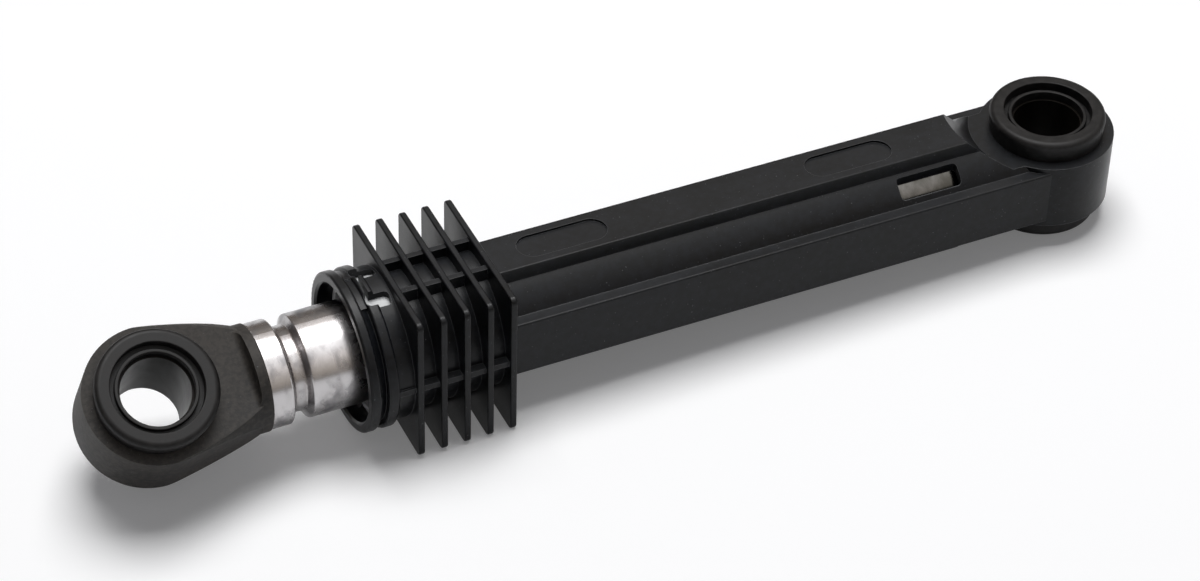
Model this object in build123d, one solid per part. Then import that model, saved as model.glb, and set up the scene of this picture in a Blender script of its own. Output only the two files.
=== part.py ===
from build123d import *
import os

# Friction damper for the drum of a washing machine. A moulded housing ends in an eye, a steel tube
# slides in the housing against a greased lining, and a second moulded eye is crimped on the tube.
# Millimetres. The origin is the centre of the housing's eye, Z is that eye's pin axis, and the rod
# runs along X, out of the housing towards -X. The damper is pushed in.

# Whole damper
bore_bottom = 20.0  # housing eye centre to the bottom of the rod's bore
rod_end_gap = 2.9  # bottom of the bore to the tube, pushed in
travel = 80.0  # how far the rod draws out
stroke_guide = 18.29  # tube still in its guide bore when drawn out
closed_gap = 17.0  # collar to the outer end of the tube, pushed in
eye_reach = 20.0  # end of the tube to the rod eye's centre
eye_roll = 31.3  # rod eye turned about the rod, from upright towards -Y
running_gap = 0.1  # radial play of the tube in its guide bore

# Pin, sleeve and rubber bush, alike in both eyes
pin_r = 6.5
sleeve_wall = 0.8
sleeve_half = 8.6
bush_wall = 2.7
bush_half = 11.4
flange_overlap = 1.35  # flange beyond the eye's bore
flange_draft = 0.3
flange_round = 1.1
lip_step = 0.4  # rubber lip set back from the sleeve's bore
lip_wall = 0.75
lip_drop = 1.05  # lip below the flange's face
lip_round = 0.2
face_groove_width = 0.9
face_groove_depth = 2.0

# Eyes
eye_half = 7.0  # half height of both eyes
housing_hub_wall = 3.3
rod_eye_wall = 3.2

# Rod tube
rod_r = 9.82
rod_wall = 1.0
rod_end_roll = 2.0  # radius of the rolled-in inner end
tube_lip_flat = 0.05  # straight bit left at the roll's end
bead_rise = 0.18
bead_length = 4.2
crimp_depth = 1.68
crimp_floor = 2.3
crimp_slope = 0.8
crimp_round = 0.35
plug_gap = 0.05
plug_tail = 6.0  # plug beyond the crimp
plug_core_wall = 2.4

# Rod eye's body
shoulder_rise = 0.42  # shoulder beyond the tube
shoulder_length = 1.8
eye_root_half = 10.05  # half width of the eye's plate where it meets the shoulder
eye_waist_start = 6.0
eye_waist_r = 13.9
eye_throat_start = 14.0
eye_throat_r = 11.8
eye_root_fillet = 1.5

# Housing barrel and pads
barrel_wall = 1.48
pad_half = 5.0
pad_rise = 1.7  # upper and lower pads above the barrel
side_pad_half = 5.9
side_pad_rise = 0.74
pad_edge = 0.35
spot_landing = 1.9  # flat ring round the hub, before the 45 degree flare
recess_length = 18.0
recess_half = 3.1
recess_depth = 0.5
recess_place = (44.0, 103.75)  # recess centres, from the eye
window_length = 13.0
window_width = 3.3
window_place = 30.1  # window centre, from the eye
window_round = 0.8

# Lining chamber, fins and ribs
lining_wall = 1.98
lining_play = 0.05  # play of the lining in its chamber and on the tube
lining_split = 0.6
chamber_side_wall = 1.5
chamber_end_wall = 1.6
fin_count = 5
fin_thickness = 1.25
fin_pitch = 4.59
fin_reach = 2.5  # flat of a fin beyond the chamber's wall
fin_round = 1.2
fin_edge = 0.3
rib_rise = 1.6
rib_thickness = 1.2
rib_spread = 4.3

# Collar and mouth
mouth_step = 1.4  # mouth wider than the chamber
mouth_round = 0.4
neck_wall = 1.2
neck_length = 3.2
rim_length = 2.1
rim_rise = 0.85
valley_depth = 0.6  # shallow groove between the rim and the ring
bead_round = 0.5
pocket_length = 1.3
pocket_front_wall = 1.1
pocket_back_wall = 0.6
pocket_start = 20.0  # turn from the top, towards the near side
pocket_arc = 120.0
land_start = -12.0
ring_length = 2.2
slot_width = 3.0
slot_spread = 3.9
slot_length = 4.8
slot_round = 0.9
slot_end_gap = 0.5  # back edge of the slots to the first fin
tongue_gap = 0.65  # in front of the tongues
tongue_set_back = 0.5  # from the front of the slots to that gap
hook_reach = 0.5
hook_length = 0.8
hook_angle = 14.0

# Lining retainer
retainer_play = 0.1
retainer_thickness = 1.5
retainer_skirt_wall = 1.1
retainer_opening = 94.0  # where its skirt is left out
retainer_turn = 180.0  # start of the opening, turned from the top
retainer_rod_gap = 0.3

# Worked out from the sizes above
sleeve_r = pin_r + sleeve_wall
eye_bore_r = sleeve_r + bush_wall
flange_r = eye_bore_r + flange_overlap
hub_r = eye_bore_r + housing_hub_wall
rod_eye_r = eye_bore_r + rod_eye_wall
lip_r = pin_r + lip_step
guide_r = rod_r + running_gap
barrel_r = guide_r + barrel_wall
pad_height = barrel_r + pad_rise
side_pad_reach = barrel_r + side_pad_rise
chamber_r = rod_r + lining_wall + 2 * lining_play
fin_barrel_r = chamber_r + chamber_side_wall
fin_half = fin_barrel_r + fin_reach
rib_height = fin_barrel_r + rib_rise
mouth_r = chamber_r + mouth_step
neck_r = mouth_r + neck_wall
collar_r = neck_r + rim_rise
valley_r = collar_r - valley_depth
pocket_front_r = mouth_r + pocket_front_wall
pocket_back_r = mouth_r + pocket_back_wall
bore_end_x = -bore_bottom
tube_end_x = bore_end_x - rod_end_gap
chamber_end_x = tube_end_x - travel - stroke_guide
fins_end_x = chamber_end_x + chamber_end_wall
fins_x = fins_end_x - (fin_count - 1) * fin_pitch - fin_thickness
chamber_x = fins_x + fin_thickness / 2
neck_x = fins_x - neck_length
ring_x = neck_x - ring_length
rim_x = ring_x - pocket_length
mouth_x = rim_x - rim_length
tube_x = mouth_x - closed_gap
rod_eye_x = tube_x - eye_reach
beyond = 2 * fin_half  # reach of the cutting shapes
diagonal = 0.5**0.5  # sine and cosine of 45 degrees

front = (Align.MIN, Align.CENTER, Align.CENTER)


def section(outline):
    """A flat face from the corners of its outline."""
    return make_face(Polyline(*outline, close=True))


def rounded(face, corners, radius):
    """The face with the corners at the given points rounded."""
    return fillet([face.vertices().sort_by_distance((x, y, 0))[0] for x, y in corners], radius)


def turned(outline, start=0.0, arc=360.0):
    """A solid turned about X from an outline of (X, Z) points, from start degrees on."""
    solid = revolve(Plane.XZ * section(outline), axis=Axis.X, revolution_arc=arc)
    return Rot(X=start) * solid


def round_bar(x_from, x_to, radius):
    """A cylinder along X."""
    return Pos(X=x_from) * extrude(Plane.YZ * Circle(radius), x_to - x_from)


def above_and_below(solid):
    """The solid and its mirror image under the XY plane."""
    return [solid, mirror(solid, about=Plane.XY)]


def bush():
    """Double-flanged rubber bush about Z: barrel, flanges, face grooves and the lips over the sleeve."""
    lip_outer = lip_r + lip_wall
    lip_top = bush_half - lip_drop
    groove_r = lip_outer + face_groove_width
    groove_z = bush_half - face_groove_depth
    half = section(
        [
            (flange_r, bush_half),
            (groove_r, bush_half),
            (groove_r, groove_z),
            (lip_outer, groove_z),
            (lip_outer, lip_top),
            (lip_r, lip_top),
            (lip_r, sleeve_half),
            (sleeve_r, sleeve_half),
            (sleeve_r, 0),
            (eye_bore_r, 0),
            (eye_bore_r, eye_half),
            (flange_r - flange_draft, eye_half),
            (flange_r, bush_half - flange_round - flange_draft),
        ]
    )
    half = rounded(half, [(flange_r, bush_half)], flange_round)
    half = rounded(half, [(groove_r, bush_half), (lip_outer, lip_top), (lip_r, lip_top)], lip_round)
    upper = revolve(Plane.XZ * half, axis=Axis.Z)
    return upper + mirror(upper, about=Plane.XY)


def sleeve():
    """Plain liner for the pin, about Z."""
    return Cylinder(sleeve_r, 2 * sleeve_half) - Cylinder(pin_r, 2 * sleeve_half)


def rod_tube():
    """Steel tube: rolled bead and crimp groove at the eye, inner end rolled in."""
    bead_r = rod_r + bead_rise
    floor_r = rod_r - crimp_depth
    inner_r = rod_r - rod_wall
    bead_end = tube_x + bead_length
    floor_x = bead_end + crimp_slope
    floor_end = floor_x + crimp_floor
    groove_end = floor_end + crimp_slope
    roll_x = tube_end_x - rod_end_roll
    roll_in = rod_end_roll - rod_wall
    lip = rod_r - rod_end_roll
    wall = section(
        [
            (tube_x, bead_r - rod_wall),
            (tube_x, bead_r),
            (bead_end, bead_r),
            (floor_x, floor_r),
            (floor_end, floor_r),
            (groove_end, rod_r),
            (tube_end_x, rod_r),
            (tube_end_x, lip),
            (roll_x + roll_in, lip),
            (roll_x + roll_in, inner_r),
            (groove_end + rod_wall, inner_r),
            (floor_end + rod_wall, floor_r - rod_wall),
            (floor_x - rod_wall, floor_r - rod_wall),
            (bead_end - rod_wall, bead_r - rod_wall),
        ]
    )
    wall = rounded(wall, [(tube_end_x, rod_r)], rod_end_roll - tube_lip_flat)
    wall = rounded(wall, [(roll_x + roll_in, inner_r)], roll_in - tube_lip_flat)
    bends = [(tube_x, bead_r), (bead_end, bead_r), (floor_x, floor_r)]
    bends += [(floor_end, floor_r), (groove_end, rod_r)]
    wall = rounded(wall, bends, crimp_round)
    return revolve(Plane.XZ * wall, axis=Axis.X)


def plug():
    """The rod eye's plug inside the tube, with the groove that the crimp is rolled into."""
    inner_r = rod_r - rod_wall - plug_gap
    floor_r = rod_r - crimp_depth - rod_wall - plug_gap
    groove_x = tube_x + bead_length - rod_wall
    floor_x = groove_x + crimp_slope
    floor_end = floor_x + crimp_floor + 2 * rod_wall
    groove_end = floor_end + crimp_slope
    core_r = floor_r - plug_core_wall
    return turned(
        [
            (tube_x, core_r),
            (tube_x, inner_r),
            (groove_x, inner_r),
            (floor_x, floor_r),
            (floor_end, floor_r),
            (groove_end, inner_r),
            (groove_end + plug_tail, inner_r),
            (groove_end + plug_tail, core_r),
        ]
    )


def rod_eye():
    """Moulded eye about its own centre: a plate that necks down to the round shoulder."""
    shoulder_r = rod_r + shoulder_rise
    root = eye_reach - shoulder_length
    corner_r = (rod_eye_r**2 + eye_half**2) ** 0.5
    disc = Circle(rod_eye_r)
    plan = make_hull([*disc.edges(), Line((root, -eye_root_half), (root, eye_root_half))])
    plate = extrude(plan, eye_half, both=True)
    waist = (eye_waist_start, eye_waist_r)
    throat = (eye_throat_start, eye_throat_r)
    neck = Spline((0, corner_r), waist, throat, (root, shoulder_r))
    ends = Polyline((root, shoulder_r), (root, 0), (-corner_r, 0), (-corner_r, corner_r), (0, corner_r))
    plate = plate & revolve(Plane.XZ * make_face(neck + ends), axis=Axis.X)
    hollow = eye_root_fillet * diagonal
    web = ThreePointArc(
        (root - eye_root_fillet, eye_half),
        (root - eye_root_fillet + hollow, eye_half + eye_root_fillet - hollow),
        (root, eye_half + eye_root_fillet),
    )
    web += Polyline((root, eye_half + eye_root_fillet), (root, 0), (root - eye_root_fillet, 0), web @ 0)
    webs = extrude(Plane.XZ * make_face(web), eye_root_half, both=True)
    webs = webs & round_bar(root - eye_root_fillet, root, shoulder_r)
    shoulder = round_bar(root, eye_reach, shoulder_r)
    joined = plate + shoulder + above_and_below(webs)
    return joined - Cylinder(eye_bore_r, 2 * eye_half)


def on_rod(solid):
    """Moves a piece from its own eye's centre to the rod eye, with its roll."""
    return Pos(X=rod_eye_x) * Rot(X=eye_roll) * solid


def barrel():
    """Barrel with its four pads, from the last fin into the hub."""
    outline = Circle(barrel_r) + Rectangle(2 * pad_half, 2 * pad_height)
    outline += Rectangle(2 * side_pad_reach, 2 * side_pad_half)
    outer = outline.vertices().filter_by(lambda v: v.distance_to(Vertex(0, 0, 0)) > barrel_r + pad_edge)
    outline = fillet(outer, pad_edge)
    return Pos(X=fins_end_x) * extrude(Plane.YZ * outline, -fins_end_x)


def spot_faces():
    """Cuts over and under the hub: a flat landing round it, then a 45 degree flare."""
    landing_r = hub_r + spot_landing
    cone = Plane.XZ * make_face(
        Polyline(
            (0, eye_half),
            (landing_r, eye_half),
            (landing_r + beyond, eye_half + beyond),
            (0, eye_half + beyond),
            close=True,
        )
    )
    return above_and_below(revolve(cone, axis=Axis.Z))


def pad_recesses():
    """Shallow long recesses in the upper and lower pads."""
    cuts = []
    for place in recess_place:
        outline = Pos(-place, 0, pad_height - recess_depth) * SlotOverall(recess_length, 2 * recess_half)
        cuts += above_and_below(extrude(outline, beyond))
    return cuts


def windows():
    """Openings between the pads that show the tube's inner end, cut the way the mould draws."""
    cuts = []
    for side in (-1, 1):
        middle = side * (pad_half + barrel_r * side_strip()) / 2
        outline = Pos(-window_place, middle) * RectangleRounded(window_length, window_width, window_round)
        cuts += above_and_below(extrude(outline, beyond))
    return cuts


def side_strip():
    """Reach of the free strip of barrel between the upper and the side pads, as a share of its radius."""
    return (1 - (side_pad_half / barrel_r) ** 2) ** 0.5


def fins():
    """Square plates over the lining's chamber, with the ribs that tie them to the collar."""
    plate = extrude(Plane.YZ * RectangleRounded(2 * fin_half, 2 * fin_half, fin_round), fin_thickness)
    plate = fillet(plate.edges().filter_by(Axis.X, reverse=True), fin_edge)
    solids = [Pos(X=fins_x + n * fin_pitch) * plate for n in range(fin_count)]
    solids.append(round_bar(fins_x, fins_end_x, fin_barrel_r))
    length = fins_end_x - fins_x
    for spread in (-rib_spread, rib_spread):
        solids.append(Pos(fins_x, spread, 0) * Box(length, rib_thickness, 2 * rib_height, align=front))
    side_rib = Box(fins_end_x - neck_x, 2 * rib_height, rib_thickness, align=front)
    solids.append(Pos(X=neck_x) * side_rib)
    return solids


def collar():
    """Rim, ring and neck in front of the fins, with the pockets and the lands between rim and ring."""
    profile = section(
        [
            (mouth_x, 0),
            (mouth_x, collar_r),
            (rim_x, collar_r),
            (rim_x, valley_r),
            (ring_x, valley_r),
            (ring_x, collar_r),
            (neck_x, collar_r),
            (neck_x, neck_r),
            (fins_x, neck_r),
            (fins_x, 0),
        ]
    )
    edges = [(mouth_x, collar_r), (rim_x, collar_r), (ring_x, collar_r), (neck_x, collar_r)]
    solid = revolve(Plane.XZ * rounded(profile, edges, bead_round), axis=Axis.X)
    pocket = [(rim_x, pocket_front_r), (rim_x, beyond), (ring_x, beyond), (ring_x, pocket_back_r)]
    land = [(rim_x, neck_r), (rim_x, beyond), (ring_x, beyond), (ring_x, neck_r)]
    for turn in (0, 180):
        solid -= turned(pocket, start=turn + pocket_start, arc=pocket_arc)
        solid -= turned(land, start=turn + land_start, arc=pocket_start - land_start)
    return solid


def slots():
    """U-shaped cuts round the spring tongues over and under the mouth."""
    length = Pos(fins_x - slot_end_gap - slot_length / 2, 0)
    gap_x = slots_front_x() + tongue_set_back + tongue_gap / 2
    outline = Pos(gap_x, 0) * Rectangle(tongue_gap, 2 * slot_spread)
    for spread in (-slot_spread, slot_spread):
        outline += length * Pos(0, spread) * RectangleRounded(slot_length, slot_width, slot_round)
    return above_and_below(extrude(outline, beyond))


def slots_front_x():
    """Front end of the cuts round the tongues."""
    return fins_x - slot_end_gap - slot_length


def housing():
    """One moulding: eye hub, barrel, pads, fins and collar, bored for the rod and the lining."""
    solid = barrel() + Cylinder(hub_r, 2 * eye_half) - spot_faces()
    solid += fins()
    solid += collar()
    solid -= pad_recesses()
    solid -= windows()
    solid -= slots()
    bores = [
        (mouth_x, 0),
        (mouth_x, mouth_r + mouth_round),
        (mouth_x + mouth_round, mouth_r),
        (chamber_x, mouth_r),
        (chamber_x, chamber_r),
        (chamber_end_x, chamber_r),
        (chamber_end_x, guide_r),
        (bore_end_x, guide_r),
        (bore_end_x, 0),
    ]
    solid -= turned(bores)
    solid -= Cylinder(eye_bore_r, 2 * eye_half)
    hook_x = slots_front_x() - retainer_play
    hook_front = hook_x - hook_length
    hook_root = mouth_r + hook_reach
    hook = [(hook_front, mouth_r), (hook_x, mouth_r - hook_reach), (hook_x, hook_root), (hook_front, hook_root)]
    for turn in (0, 180):
        solid += turned(hook, start=turn - hook_angle / 2, arc=hook_angle)
    return solid


def lining_retainer():
    """Snap-in ring against the chamber's step, with an open skirt that reaches forward to the hooks."""
    outer_r = mouth_r - retainer_play
    ring_front = chamber_x - retainer_thickness
    inner_r = rod_r + retainer_rod_gap
    skirt_r = outer_r - retainer_skirt_wall
    front_x = slots_front_x()
    ring = turned([(ring_front, inner_r), (ring_front, outer_r), (chamber_x, outer_r), (chamber_x, inner_r)])
    skirt = [(front_x, skirt_r), (front_x, outer_r), (ring_front, outer_r), (ring_front, skirt_r)]
    return ring + turned(skirt, start=retainer_turn + retainer_opening, arc=360 - retainer_opening)


def friction_lining():
    """Strip rolled into a ring that fills the chamber, with a narrow split where its ends meet."""
    outer_r = chamber_r - lining_play
    inner_r = rod_r + lining_play
    end_x = chamber_end_x - lining_play
    front_x = chamber_x + lining_play
    ring = turned([(front_x, inner_r), (front_x, outer_r), (end_x, outer_r), (end_x, inner_r)])
    below = (Align.MIN, Align.CENTER, Align.MAX)
    split = Pos(X=front_x) * Box(end_x - front_x, lining_split, beyond, align=below)
    return ring - split


nodes = {
    "housing": housing(),
    "housing_bush": bush(),
    "housing_sleeve": sleeve(),
    "lining_retainer": lining_retainer(),
    "friction_lining": friction_lining(),
    "rod_tube": rod_tube(),
    "rod_eye": on_rod(rod_eye()) + plug(),
    "rod_eye_bush": on_rod(bush()),
    "rod_eye_sleeve": on_rod(sleeve()),
}

os.makedirs("parts", exist_ok=True)
for name, solid in nodes.items():
    export_step(solid, f"parts/{name}.step")
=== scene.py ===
from math import atan2, radians

import bpy
from mathutils import Matrix, Vector

# A washing machine's friction damper on a white card, under one large soft lamp. Each piece keeps
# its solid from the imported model. This script gives the solids their finishes and sets the stage.
# The scene is in metres and the sizes below are in millimetres. X runs along the rod, and Z along
# the pin of the housing's eye.

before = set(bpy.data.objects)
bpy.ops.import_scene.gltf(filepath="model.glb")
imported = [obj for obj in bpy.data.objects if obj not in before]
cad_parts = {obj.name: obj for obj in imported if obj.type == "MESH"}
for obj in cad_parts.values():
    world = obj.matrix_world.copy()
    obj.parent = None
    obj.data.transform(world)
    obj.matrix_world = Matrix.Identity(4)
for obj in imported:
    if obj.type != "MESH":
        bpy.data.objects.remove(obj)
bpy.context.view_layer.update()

MM = 0.001

# Camera, as the photograph was taken, in pixels, millimetres and degrees
PHOTO_WIDTH = 1200
FOCAL_PIXELS = 3745.4
SENSOR = 36.0
CAMERA_PLACE = (-328.38, -481.80, 458.52)
CAMERA_TURN = -25.787
CAMERA_HEIGHT = 40.757
CAMERA_ROLL = 1.696
NEAREST_SEEN = 10
FARTHEST_SEEN = 20000

# Card, and the two places where the damper touches it
CARD_SIZE = 3000
CARD_TOOTH = 0.8
LAST_FIN_LOW = (-119.99, 0, -15.9)
LOWER_PAD_END = (-21.3, 0, -13.1)

# Lamp, in millimetres and watts
LAMP_PLACE = (-20, 230, 1275)
LAMP_AIM = (-90, 0, 0)
LAMP_SIZE = 800
LAMP_POWER = 16.6

# Card's glow, the room's even light, and its walls by the cosine of the angle to the bright side
CARD_LIFT = 0.14
ROOM_LIGHT = "#57575a"
WALL_LIGHT = 2.0
BRIGHT_SIDE = (0.13, -0.224, 0.966)
WALL_SHADES = [
    (0.0, "#5e5751"),
    (0.3, "#686460"),
    (0.5, "#918a82"),
    (0.7, "#b0aba6"),
    (0.85, "#d6d2cf"),
    (0.97, "#f8f8f8"),
]

# Glass-filled nylon, with its fibres drawn as thin as can be seen, coarser than the real ones
MOULD_GRAIN = 0.16
FLOW_MARK = 9.0
FLOW_LENGTH = 22.5
FLOW_DEPTH = 0.03
FIBRE_LENGTH = 1.6
FIBRE_WIDTH = 0.22
EDGE_ROUND = 0.18
EDGE_RAYS = 6
ROUGHNESS_SWING = 0.05

# Nylon: paler edges (rubbing and painted highlight), painted light on upward faces, dust specks
RUB_AND_HIGHLIGHT_REACH = 0.22
RUB_AND_HIGHLIGHT_START = 0.985
RUB_AND_HIGHLIGHT_FULL = 0.88
DUST_AND_TOP_LIGHT = "#6a6b6d"
DUST_SPECK = 0.35
PAINTED_TOP_LIGHT_START = 0.93
PAINTED_TOP_LIGHT_FULL = 0.99

# Rubber
RUBBER_BLOOM = 1.6
RUBBER_GRAIN = 0.3
RUBBER_GRAIN_DEPTH = 0.004
RUBBER_EDGE = 0.1

# Steel, with its lines drawn as fine as can be seen, coarser than the real ones
DRAWN_LINE = 0.35
DRAWN_LINE_LENGTH = 21.0
DRAWN_LINE_DEPTH = 0.003
TURNED_LINE = 0.25
TURNED_LINE_LENGTH = 10.0
TURNED_LINE_DEPTH = 0.002
SMUDGE = 5.0
SMUDGE_LENGTH = 8.0
SMUDGE_DEPTH = 0.03
WIPE = 2.6
WIPE_LENGTH = 3.38
INNER_DARK_START = -76.0
INNER_DARK_FULL = -61.0
GROOVE_REACH = 1.6
GROOVE_RAYS = 16

# Liner, retainer and lining
LINER_SWIRL = 2.0
LINER_SWIRL_LENGTH = 8.0
NYLON_CLOUD = 3.0
SMOOTH_EDGE = 0.15
FELT_HAIR = 0.3
FELT_HAIR_LENGTH = 0.9
FELT_HAIR_DEPTH = 0.15
GREASE_PATCH = 3.0

# Inputs of a Mix node that mixes colours, by their places, because their names repeat
SHARE = 0
FIRST = 6
SECOND = 7


def pixel(hexcode):
    """An sRGB hex colour as linear RGBA."""
    parts = [int(hexcode[i : i + 2], 16) / 255 for i in (1, 3, 5)]
    linear = [c / 12.92 if c <= 0.04045 else ((c + 0.055) / 1.055) ** 2.4 for c in parts]
    return (*linear, 1.0)


def per(size_mm):
    """The texture scale that makes one feature of a noise about size_mm wide."""
    return 1 / (size_mm * MM)


def add(tree, kind, inputs=None, **settings):
    """Adds a shader node with its settings. Each input is a value, another node's output, or a
    node, which gives its first output in use."""
    node = tree.nodes.new("ShaderNode" + kind)
    for name, value in settings.items():
        setattr(node, name, value)
    for key, value in (inputs or {}).items():
        if isinstance(value, bpy.types.Node):
            value = next(output for output in value.outputs if output.enabled)
        if isinstance(value, bpy.types.NodeSocket):
            tree.links.new(value, node.inputs[key])
        else:
            node.inputs[key].default_value = value
    return node


def blank(name):
    """An empty material, its nodes, and the place on the piece, which moves with it."""
    material = bpy.data.materials.new(name)
    material.use_nodes = True
    tree = material.node_tree
    tree.nodes.clear()
    return material, tree, add(tree, "TexCoord").outputs["Object"]


def fibre_show(tree, where, flow, blotch):
    """How far the pale fibres show: along the flow marks, as short hairs, and in blotches."""
    along = (FIBRE_WIDTH / FIBRE_LENGTH, 1, 1)
    fibre_place = add(tree, "VectorMath", {0: where, 1: along}, operation="MULTIPLY")
    fibres = add(
        tree, "TexNoise", {"Vector": fibre_place, "Scale": per(FIBRE_WIDTH), "Detail": 1.0}
    )
    blotches = add(tree, "TexNoise", {"Vector": where, "Scale": per(blotch), "Detail": 4.0})
    in_flow = add(
        tree, "MapRange", {"Value": flow, "From Min": 0.35, "From Max": 0.65, "To Max": 0.5}
    )
    in_hairs = add(
        tree, "MapRange", {"Value": fibres, "From Min": 0.55, "From Max": 0.8, "To Max": 0.4}
    )
    in_blotches = add(
        tree, "MapRange", {"Value": blotches, "From Min": 0.4, "From Max": 0.65, "To Max": 0.7}
    )
    streaks = add(tree, "Math", {0: in_flow, 1: in_hairs}, operation="ADD")
    return add(tree, "Math", {0: streaks, 1: in_blotches}, operation="ADD")


def dust_and_painted_top_light(tree, where, colour, painted_top_light):
    """The colour under specks of dust, and lighter on the upward faces as painted light from above."""
    specks = add(tree, "TexNoise", {"Vector": where, "Scale": per(DUST_SPECK), "Detail": 1.0})
    speck_share = add(
        tree, "MapRange", {"Value": specks, "From Min": 0.755, "From Max": 0.79, "To Max": 0.7}
    )
    colour = add(
        tree, "Mix", {SHARE: speck_share, FIRST: colour, SECOND: pixel(DUST_AND_TOP_LIGHT)}, data_type="RGBA"
    )
    # Painted light: faces that point upwards are lightened as if lit from above
    facing = add(tree, "TexCoord").outputs["Normal"]
    upward = add(tree, "SeparateXYZ", {0: facing}).outputs["Z"]
    painted_top_light_share = add(
        tree,
        "MapRange",
        {"Value": upward, "From Min": PAINTED_TOP_LIGHT_START, "From Max": PAINTED_TOP_LIGHT_FULL, "To Max": painted_top_light},
    )
    return add(
        tree, "Mix", {SHARE: painted_top_light_share, FIRST: colour, SECOND: pixel(DUST_AND_TOP_LIGHT)}, data_type="RGBA"
    )


def rubbed_and_highlit_edges(tree):
    """1 along the edges, where a broadly rounded normal leaves the surface's own, and 0 on the
    faces. These edges are painted paler, partly as rubbing and partly as a painted highlight."""
    own = add(tree, "NewGeometry").outputs["Normal"]
    rounded = add(tree, "Bevel", {"Radius": RUB_AND_HIGHLIGHT_REACH * MM}, samples=EDGE_RAYS)
    agreement = add(tree, "VectorMath", {0: rounded, 1: own}, operation="DOT_PRODUCT")
    return add(
        tree, "MapRange", {"Value": agreement, "From Min": RUB_AND_HIGHLIGHT_START, "From Max": RUB_AND_HIGHLIGHT_FULL}
    )


def glass_filled_nylon(
    name, dark, pale, edge_rub_and_highlight, roughness, gleam, grain, grain_depth, blotch, painted_top_light
):
    """Glass-filled nylon, injection moulded in a spark-eroded tool: a satin near-black with fine
    grain, faint flow marks, blotches where fibres reach the surface and short fibres that catch
    the light along the flow. Its edges are paler, partly rubbed by handling and partly a painted
    highlight, its upward faces are lighter as painted light from above, and dust specks lie on it."""
    material, tree, where = blank(name)
    along = (FLOW_MARK / FLOW_LENGTH, 1, 1)
    flow_place = add(tree, "VectorMath", {0: where, 1: along}, operation="MULTIPLY")
    flow = add(tree, "TexNoise", {"Vector": flow_place, "Scale": per(FLOW_MARK), "Detail": 4.0})
    colour = add(
        tree,
        "Mix",
        {
            SHARE: fibre_show(tree, where, flow, blotch),
            FIRST: pixel(dark),
            SECOND: pixel(pale),
        },
        data_type="RGBA",
    )
    colour = dust_and_painted_top_light(tree, where, colour, painted_top_light)
    # Paler edges: partly rubbing, partly a painted highlight
    colour = add(
        tree,
        "Mix",
        {SHARE: rubbed_and_highlit_edges(tree), FIRST: colour, SECOND: pixel(edge_rub_and_highlight)},
        data_type="RGBA",
    )
    rough = add(
        tree,
        "MapRange",
        {
            "Value": flow,
            "From Min": 0.3,
            "From Max": 0.7,
            "To Min": roughness - ROUGHNESS_SWING,
            "To Max": roughness + ROUGHNESS_SWING,
        },
    )
    rounded = add(tree, "Bevel", {"Radius": EDGE_ROUND * MM}, samples=EDGE_RAYS)
    grains = add(tree, "TexNoise", {"Vector": where, "Scale": per(grain), "Detail": 2.0})
    grained = add(
        tree, "Bump", {"Height": grains, "Distance": grain_depth * MM, "Normal": rounded}
    )
    normal = add(tree, "Bump", {"Height": flow, "Distance": FLOW_DEPTH * MM, "Normal": grained})
    shader = add(
        tree,
        "BsdfPrincipled",
        {
            "Base Color": colour,
            "Roughness": rough,
            "Normal": normal,
            "IOR": 1.5,
            "Specular IOR Level": gleam,
        },
    )
    add(tree, "OutputMaterial", {"Surface": shader})
    return material


def moulded_rubber():
    """Natural rubber, compression moulded in a polished tool: a smooth deep black with a soft
    broad sheen, and a faint bloom that greys it a little in patches."""
    material, tree, where = blank("moulded_rubber")
    bloom = add(tree, "TexNoise", {"Vector": where, "Scale": per(RUBBER_BLOOM), "Detail": 5.0})
    grain = add(tree, "TexNoise", {"Vector": where, "Scale": per(RUBBER_GRAIN), "Detail": 2.0})
    greyed = add(tree, "MapRange", {"Value": bloom, "From Min": 0.4, "From Max": 0.7})
    colour = add(
        tree,
        "Mix",
        {SHARE: greyed, FIRST: pixel("#060607"), SECOND: pixel("#1a1919")},
        data_type="RGBA",
    )
    rough = add(
        tree,
        "MapRange",
        {"Value": bloom, "From Min": 0.3, "From Max": 0.7, "To Min": 0.45, "To Max": 0.55},
    )
    rounded = add(tree, "Bevel", {"Radius": RUBBER_EDGE * MM}, samples=EDGE_RAYS)
    normal = add(
        tree, "Bump", {"Height": grain, "Distance": RUBBER_GRAIN_DEPTH * MM, "Normal": rounded}
    )
    shader = add(
        tree,
        "BsdfPrincipled",
        {
            "Base Color": colour,
            "Roughness": rough,
            "Normal": normal,
            "IOR": 1.52,
            "Specular IOR Level": 0.22,
        },
    )
    add(tree, "OutputMaterial", {"Surface": shader})
    return material


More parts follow.
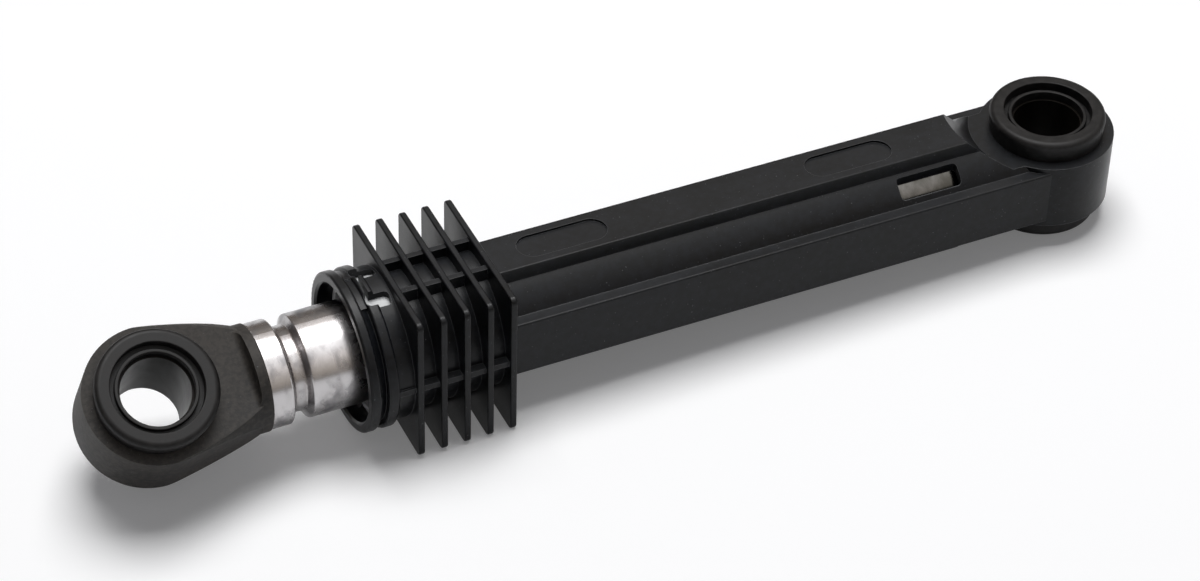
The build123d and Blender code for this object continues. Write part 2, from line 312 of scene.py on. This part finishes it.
def soiled_steel(tree, where, smudge, soiled):
    """The tube's colour: bright, darker in the smudges, darker in patches towards its inner end,
    and darker and browner in the grooves."""
    dulled = add(tree, "MapRange", {"Value": smudge, "From Min": 0.35, "From Max": 0.7})
    colour = add(
        tree,
        "Mix",
        {SHARE: dulled, FIRST: pixel("#bebcbd"), SECOND: pixel("#a3a0a0")},
        data_type="RGBA",
    )
    soil_share = add(
        tree, "MapRange", {"Value": soiled, "From Min": 0.22, "From Max": 0.42, "To Max": 0.75}
    )
    colour = add(
        tree, "Mix", {SHARE: soil_share, FIRST: colour, SECOND: pixel("#5a5a5f")}, data_type="RGBA"
    )
    # Darker in patches towards the inner end, where the tube runs inside the housing
    along = add(tree, "SeparateXYZ", {0: where}).outputs["X"]
    inside = add(
        tree,
        "MapRange",
        {"Value": along, "From Min": INNER_DARK_START * MM, "From Max": INNER_DARK_FULL * MM},
    )
    inner_dark_strength = add(
        tree,
        "MapRange",
        {"Value": smudge, "From Min": 0.35, "From Max": 0.6, "To Min": 0.7, "To Max": 0.95},
    )
    inner_dark_share = add(tree, "Math", {0: inside, 1: inner_dark_strength}, operation="MULTIPLY")
    colour = add(
        tree,
        "Mix",
        {SHARE: inner_dark_share, FIRST: colour, SECOND: pixel("#45443f")},
        data_type="RGBA",
    )
    # Darker and browner where the tube's own grooves close round a point
    openness = add(
        tree,
        "AmbientOcclusion",
        {"Distance": GROOVE_REACH * MM},
        samples=GROOVE_RAYS,
        only_local=True,
    ).outputs["AO"]
    groove_dark_share = add(
        tree, "MapRange", {"Value": openness, "From Min": 0.95, "From Max": 0.55, "To Max": 0.75}
    )
    return add(
        tree, "Mix", {SHARE: groove_dark_share, FIRST: colour, SECOND: pixel("#5a4c42")}, data_type="RGBA"
    )


def drawn_steel():
    """Bright drawn steel tube, zinc plated: a soft mirror with fine lines round it from the
    rolling, a few long draw lines, and greasy smudges that dull and darken it."""
    material, tree, where = blank("drawn_steel")
    drawn = (DRAWN_LINE / DRAWN_LINE_LENGTH, 1, 1)
    turned = (1, TURNED_LINE / TURNED_LINE_LENGTH, TURNED_LINE / TURNED_LINE_LENGTH)
    smeared = (1, SMUDGE / SMUDGE_LENGTH, SMUDGE / SMUDGE_LENGTH)
    wiped = (1, WIPE / WIPE_LENGTH, WIPE / WIPE_LENGTH)
    drawn_place = add(tree, "VectorMath", {0: where, 1: drawn}, operation="MULTIPLY")
    turned_place = add(tree, "VectorMath", {0: where, 1: turned}, operation="MULTIPLY")
    smeared_place = add(tree, "VectorMath", {0: where, 1: smeared}, operation="MULTIPLY")
    wiped_place = add(tree, "VectorMath", {0: where, 1: wiped}, operation="MULTIPLY")
    drawn_lines = add(
        tree, "TexNoise", {"Vector": drawn_place, "Scale": per(DRAWN_LINE), "Detail": 2.0}
    )
    turned_lines = add(
        tree, "TexNoise", {"Vector": turned_place, "Scale": per(TURNED_LINE), "Detail": 1.0}
    )
    smudge = add(tree, "TexNoise", {"Vector": smeared_place, "Scale": per(SMUDGE), "Detail": 5.0})
    wipe = add(tree, "TexNoise", {"Vector": wiped_place, "Scale": per(WIPE), "Detail": 3.0})
    soiled = add(tree, "Math", {0: smudge, 1: wipe}, operation="MULTIPLY")
    rough = add(
        tree,
        "MapRange",
        {"Value": soiled, "From Min": 0.2, "From Max": 0.36, "To Min": 0.22, "To Max": 0.34},
    )
    normal = add(tree, "Bump", {"Height": drawn_lines, "Distance": DRAWN_LINE_DEPTH * MM})
    normal = add(
        tree,
        "Bump",
        {"Height": turned_lines, "Distance": TURNED_LINE_DEPTH * MM, "Normal": normal},
    )
    normal = add(tree, "Bump", {"Height": smudge, "Distance": SMUDGE_DEPTH * MM, "Normal": normal})
    shader = add(
        tree,
        "BsdfPrincipled",
        {
            "Base Color": soiled_steel(tree, where, smudge, soiled),
            "Roughness": rough,
            "Normal": normal,
            "Metallic": 1.0,
        },
    )
    add(tree, "OutputMaterial", {"Surface": shader})
    return material


def acetal_liner():
    """Acetal, turned or moulded smooth: a dark brownish black that shines a little more than the
    rubber round it."""
    material, tree, where = blank("acetal_liner")
    along = (1, 1, LINER_SWIRL / LINER_SWIRL_LENGTH)
    swirl_place = add(tree, "VectorMath", {0: where, 1: along}, operation="MULTIPLY")
    swirl = add(
        tree, "TexNoise", {"Vector": swirl_place, "Scale": per(LINER_SWIRL), "Detail": 2.0}
    )
    colour = add(
        tree,
        "Mix",
        {SHARE: swirl, FIRST: pixel("#100e0c"), SECOND: pixel("#1b1815")},
        data_type="RGBA",
    )
    rough = add(
        tree,
        "MapRange",
        {"Value": swirl, "From Min": 0.3, "From Max": 0.7, "To Min": 0.3, "To Max": 0.38},
    )
    shader = add(
        tree,
        "BsdfPrincipled",
        {
            "Base Color": colour,
            "Roughness": rough,
            "Normal": add(tree, "Bevel", {"Radius": SMOOTH_EDGE * MM}, samples=EDGE_RAYS),
            "IOR": 1.48,
            "Specular IOR Level": 0.08,
        },
    )
    add(tree, "OutputMaterial", {"Surface": shader})
    return material


def natural_nylon():
    """Unfilled nylon, moulded without dye: a milky grey white with a soft shine."""
    material, tree, where = blank("natural_nylon")
    cloud = add(tree, "TexNoise", {"Vector": where, "Scale": per(NYLON_CLOUD), "Detail": 2.0})
    colour = add(
        tree,
        "Mix",
        {SHARE: cloud, FIRST: pixel("#b6b8b9"), SECOND: pixel("#cccdce")},
        data_type="RGBA",
    )
    rough = add(
        tree,
        "MapRange",
        {"Value": cloud, "From Min": 0.3, "From Max": 0.7, "To Min": 0.38, "To Max": 0.5},
    )
    shader = add(
        tree,
        "BsdfPrincipled",
        {
            "Base Color": colour,
            "Roughness": rough,
            "Normal": add(tree, "Bevel", {"Radius": SMOOTH_EDGE * MM}, samples=EDGE_RAYS),
            "IOR": 1.53,
        },
    )
    add(tree, "OutputMaterial", {"Surface": shader})
    return material


def greased_felt():
    """Wool felt soaked in grease: matted fibres in a dark tan, wet and dull by turns."""
    material, tree, where = blank("greased_felt")
    along = (FELT_HAIR / FELT_HAIR_LENGTH, 1, 1)
    hair_place = add(tree, "VectorMath", {0: where, 1: along}, operation="MULTIPLY")
    hairs = add(tree, "TexNoise", {"Vector": hair_place, "Scale": per(FELT_HAIR), "Detail": 4.0})
    soak = add(tree, "TexNoise", {"Vector": where, "Scale": per(GREASE_PATCH), "Detail": 3.0})
    colour = add(
        tree,
        "Mix",
        {SHARE: hairs, FIRST: pixel("#4a4033"), SECOND: pixel("#7a6c58")},
        data_type="RGBA",
    )
    rough = add(
        tree,
        "MapRange",
        {"Value": soak, "From Min": 0.4, "From Max": 0.6, "To Min": 0.45, "To Max": 0.9},
    )
    normal = add(tree, "Bump", {"Height": hairs, "Distance": FELT_HAIR_DEPTH * MM})
    shader = add(
        tree, "BsdfPrincipled", {"Base Color": colour, "Roughness": rough, "Normal": normal}
    )
    add(tree, "OutputMaterial", {"Surface": shader})
    return material


def dress(finishes):
    """Gives each solid of the model the finish of its material."""
    for node, finish in finishes.items():
        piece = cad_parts[node]
        piece.data.materials.clear()
        piece.data.materials.append(finish)


def seen_or_mirrored(tree):
    """1 for what the camera sees, directly or in a shiny surface, and 0 for the light on the
    object."""
    path = add(tree, "LightPath")
    rays = {0: path.outputs["Is Camera Ray"], 1: path.outputs["Is Glossy Ray"]}
    return add(tree, "Math", rays, operation="MAXIMUM")


def white_card():
    """White card: it shows white to the camera and in the steel, and keeps the soft shadow."""
    material, tree, where = blank("white_card")
    tooth = add(tree, "TexNoise", {"Vector": where, "Scale": per(CARD_TOOTH), "Detail": 2.0})
    colour = add(
        tree,
        "Mix",
        {SHARE: tooth, FIRST: pixel("#f2f2f3"), SECOND: pixel("#f5f5f5")},
        data_type="RGBA",
    )
    card = add(tree, "BsdfDiffuse", {"Color": colour})
    lift = add(tree, "Math", {0: seen_or_mirrored(tree), 1: CARD_LIFT}, operation="MULTIPLY")
    glow = add(tree, "Emission", {"Color": pixel("#ffffff"), "Strength": lift})
    both = add(tree, "AddShader", {0: card, 1: glow})
    add(tree, "OutputMaterial", {"Surface": both})
    return material


def floor():
    """The card that the damper lies on. It touches the last fin and the end of the lower pad, so
    it leans a little to the rod."""
    fin_low = Vector(LAST_FIN_LOW) * MM
    pad_low = Vector(LOWER_PAD_END) * MM
    slope = atan2(pad_low.z - fin_low.z, pad_low.x - fin_low.x)
    bpy.ops.mesh.primitive_plane_add(
        size=CARD_SIZE * MM, location=fin_low, rotation=(0, -slope, 0)
    )
    sheet = bpy.context.object
    sheet.name = "floor_sheet"
    sheet.data.materials.append(white_card())


def lamp():
    """The one lamp: a large soft box nearly overhead, a little behind the damper."""
    light = bpy.data.lights.new("key_box", "AREA")
    light.size = LAMP_SIZE * MM
    light.energy = LAMP_POWER
    holder = bpy.data.objects.new("key_box", light)
    holder.location = Vector(LAMP_PLACE) * MM
    towards = Vector(LAMP_AIM) * MM - holder.location
    holder.rotation_euler = towards.to_track_quat("-Z", "Y").to_euler()
    bpy.context.collection.objects.link(holder)


def room():
    """The room round the card, as shiny surfaces mirror it: brightest overhead, a little towards
    the camera, and dimmer down the walls. Everything else gets a soft even light from it."""
    world = bpy.data.worlds.new("studio")
    world.use_nodes = True
    bpy.context.scene.world = world
    tree = world.node_tree
    tree.nodes.clear()
    direction = add(tree, "TexCoord").outputs["Generated"]
    nearness = add(tree, "VectorMath", {0: direction, 1: BRIGHT_SIDE}, operation="DOT_PRODUCT")
    walls = add(tree, "ValToRGB", {"Fac": nearness})
    stops = walls.color_ramp.elements
    while len(stops) < len(WALL_SHADES):
        stops.new(0.5)
    for stop, (cosine, shade) in zip(stops, WALL_SHADES):
        stop.position = cosine
        stop.color = pixel(shade)
    mirrored = add(tree, "Background", {"Color": walls, "Strength": WALL_LIGHT})
    even = add(tree, "Background", {"Color": pixel(ROOM_LIGHT), "Strength": 1.0})
    both = add(tree, "MixShader", {0: seen_or_mirrored(tree), 1: even, 2: mirrored})
    add(tree, "OutputWorld", {"Surface": both})


def camera():
    """The camera of the photograph: a long lens from above the rod's side."""
    data = bpy.data.cameras.new("camera")
    data.sensor_width = SENSOR
    data.lens = FOCAL_PIXELS / PHOTO_WIDTH * SENSOR
    data.clip_start = NEAREST_SEEN * MM
    data.clip_end = FARTHEST_SEEN * MM
    holder = bpy.data.objects.new("camera", data)
    turn = Matrix.Rotation(radians(CAMERA_TURN), 4, "Z")
    tilt = Matrix.Rotation(radians(90 - CAMERA_HEIGHT), 4, "X")
    roll = Matrix.Rotation(radians(CAMERA_ROLL), 4, "Z")
    holder.matrix_world = Matrix.Translation(Vector(CAMERA_PLACE) * MM) @ turn @ tilt @ roll
    bpy.context.collection.objects.link(holder)
    bpy.context.scene.camera = holder


# Satin moulding of the housing; painted highlight and rubbing on edges, painted top light
black_nylon = glass_filled_nylon(
    "black_nylon",
    dark="#030405",
    pale="#111317",
    edge_rub_and_highlight="#525355",
    roughness=0.33,
    gleam=0.19,
    grain=MOULD_GRAIN,
    grain_depth=0.008,
    blotch=1.4,
    painted_top_light=0.08,
)

# Dull moulding of the rod's eye, from a coarser tool; painted highlight and rubbing on edges
dull_black_nylon = glass_filled_nylon(
    "dull_black_nylon",
    dark="#0b0a0a",
    pale="#312e2b",
    edge_rub_and_highlight="#4c4a46",
    roughness=0.6,
    gleam=0.3,
    grain=2 * MOULD_GRAIN,
    grain_depth=0.03,
    blotch=0.9,
    painted_top_light=0.0,
)

rubber = moulded_rubber()
liner = acetal_liner()
dress(
    {
        "housing": black_nylon,
        "rod_eye": dull_black_nylon,
        "housing_bush": rubber,
        "rod_eye_bush": rubber,
        "housing_sleeve": liner,
        "rod_eye_sleeve": liner,
        "rod_tube": drawn_steel(),
        "lining_retainer": natural_nylon(),
        "friction_lining": greased_felt(),
    }
)

camera()
floor()
room()
lamp()
bpy.context.scene.view_settings.view_transform = "Standard"
